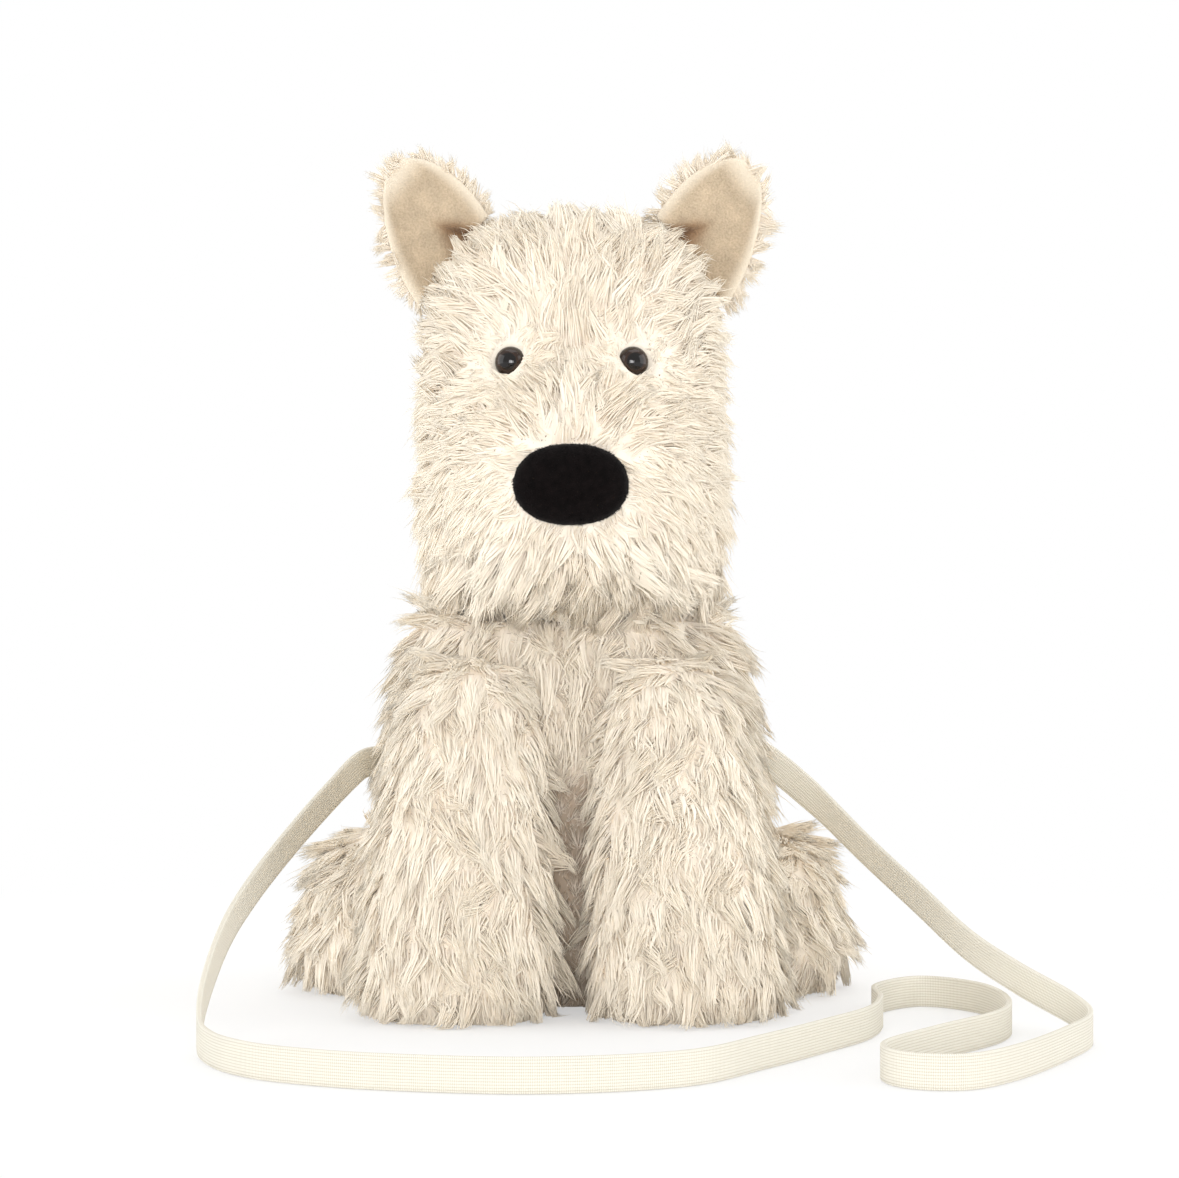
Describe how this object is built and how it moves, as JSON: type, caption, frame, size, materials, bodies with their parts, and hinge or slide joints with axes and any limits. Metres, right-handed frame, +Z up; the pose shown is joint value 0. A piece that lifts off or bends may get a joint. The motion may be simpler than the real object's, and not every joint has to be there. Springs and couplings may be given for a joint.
{
  "type": "plush dog bag",
  "caption": "Sitting shaggy plush terrier with stuffed legs, pricked ears, button eyes, a zipped back pocket and a flat webbing shoulder strap laid on the floor.",
  "frame": {"origin": "centre of the dog on the floor under its seat and paws, the strap not counted", "axes": "+Z up, the dog looks along -Y, its own left is +X"},
  "size_m": [0.2663, 0.3042, 0.2788],
  "materials": {
    "fur": "long shaggy cream pile",
    "wadding": "loose polyester fibre",
    "plain_cloth": "plain cream weave",
    "webbing": "flat ribbed webbing",
    "velour": "short black velour",
    "ear_lining": "short beige pile",
    "eye": "polished dark brown",
    "washer": "moulded",
    "zip_teeth": "moulded",
    "zip_metal": "plated"
  },
  "bodies": {
    "torso": {"torso_cover": "fur", "torso_stuffing": "wadding", "seat_panel": "plain_cloth", "pocket_lining": "plain_cloth", "zip_tape": "plain_cloth", "zip_teeth": "zip_teeth", "zip_stops": "zip_metal", "left_strap_tab": "webbing", "right_strap_tab": "webbing", "strap_webbing": "webbing"},
    "neck": {"neck_stuffing": "wadding"},
    "head": {"head_cover": "fur", "head_stuffing": "wadding", "nose_pad": "velour", "left_eye": "eye", "right_eye": "eye", "left_eye_washer": "washer", "right_eye_washer": "washer"},
    "left_ear": {"left_ear_back": "fur", "left_ear_lining": "ear_lining"},
    "right_ear": {"right_ear_back": "fur", "right_ear_lining": "ear_lining"},
    "left_front_leg": {"left_front_leg_cover": "fur", "left_front_leg_stuffing": "wadding", "left_front_sole": "plain_cloth"},
    "right_front_leg": {"right_front_leg_cover": "fur", "right_front_leg_stuffing": "wadding", "right_front_sole": "plain_cloth"},
    "left_hind_leg": {"left_hind_leg_cover": "fur", "left_hind_leg_stuffing": "wadding", "left_hind_sole": "plain_cloth"},
    "right_hind_leg": {"right_hind_leg_cover": "fur", "right_hind_leg_stuffing": "wadding", "right_hind_sole": "plain_cloth"},
    "tail": {"tail_cover": "fur", "tail_stuffing": "wadding"},
    "zip_slider": {"zip_slider": "zip_metal"},
    "zip_pull": {"zip_pull": "zip_metal"}
  },
  "joints": [
    {"name": "neck_turn", "type": "hinge", "parent": "torso", "child": "neck", "pos_m": [0, 0, 0.13], "axis": [0, 0, 1], "range_deg": [-30, 30], "stiffness_Nm_per_rad": 0.25},
    {"name": "neck_nod", "type": "hinge", "parent": "neck", "child": "head", "pos_m": [0, 0, 0.13], "axis": [1, 0, 0], "range_deg": [-10, 10], "stiffness_Nm_per_rad": 1},
    {"name": "left_ear_fold", "type": "hinge", "parent": "head", "child": "left_ear", "pos_m": [0.03965, -0.01, 0.24504], "axis": [0.6176, 0, -0.7865], "range_deg": [-20, 35], "stiffness_Nm_per_rad": 0.02},
    {"name": "right_ear_fold", "type": "hinge", "parent": "head", "child": "right_ear", "pos_m": [-0.03965, -0.01, 0.24504], "axis": [0.6176, 0, 0.7865], "range_deg": [-20, 35], "stiffness_Nm_per_rad": 0.02},
    {"name": "left_front_leg_swing", "type": "hinge", "parent": "torso", "child": "left_front_leg", "pos_m": [0.032, -0.024, 0.112], "axis": [-1, 0, 0], "range_deg": [0, 25], "stiffness_Nm_per_rad": 0.4},
    {"name": "right_front_leg_swing", "type": "hinge", "parent": "torso", "child": "right_front_leg", "pos_m": [-0.032, -0.024, 0.112], "axis": [-1, 0, 0], "range_deg": [0, 25], "stiffness_Nm_per_rad": 0.4},
    {"name": "left_hind_leg_splay", "type": "hinge", "parent": "torso", "child": "left_hind_leg", "pos_m": [0.05, 0.056, 0.02], "axis": [0, 0, 1], "range_deg": [0, 12], "stiffness_Nm_per_rad": 0.4},
    {"name": "right_hind_leg_splay", "type": "hinge", "parent": "torso", "child": "right_hind_leg", "pos_m": [-0.05, 0.056, 0.02], "axis": [0, 0, -1], "range_deg": [0, 12], "stiffness_Nm_per_rad": 0.4},
    {"name": "tail_wag", "type": "hinge", "parent": "torso", "child": "tail", "pos_m": [0, 0.07754, 0.019], "axis": [0, -0.6428, 0.766], "range_deg": [-25, 25], "stiffness_Nm_per_rad": 0.02},
    {"name": "zip_slide", "type": "slide", "parent": "torso", "child": "zip_slider", "axis": [0, 0.2689, -0.9632], "range_m": [0, 0.044]},
    {"name": "zip_pull_swing", "type": "hinge", "parent": "zip_slider", "child": "zip_pull", "pos_m": [0, 0.04954, 0.11082], "axis": [1, 0, 0], "range_deg": [0, 150]}
  ]
}
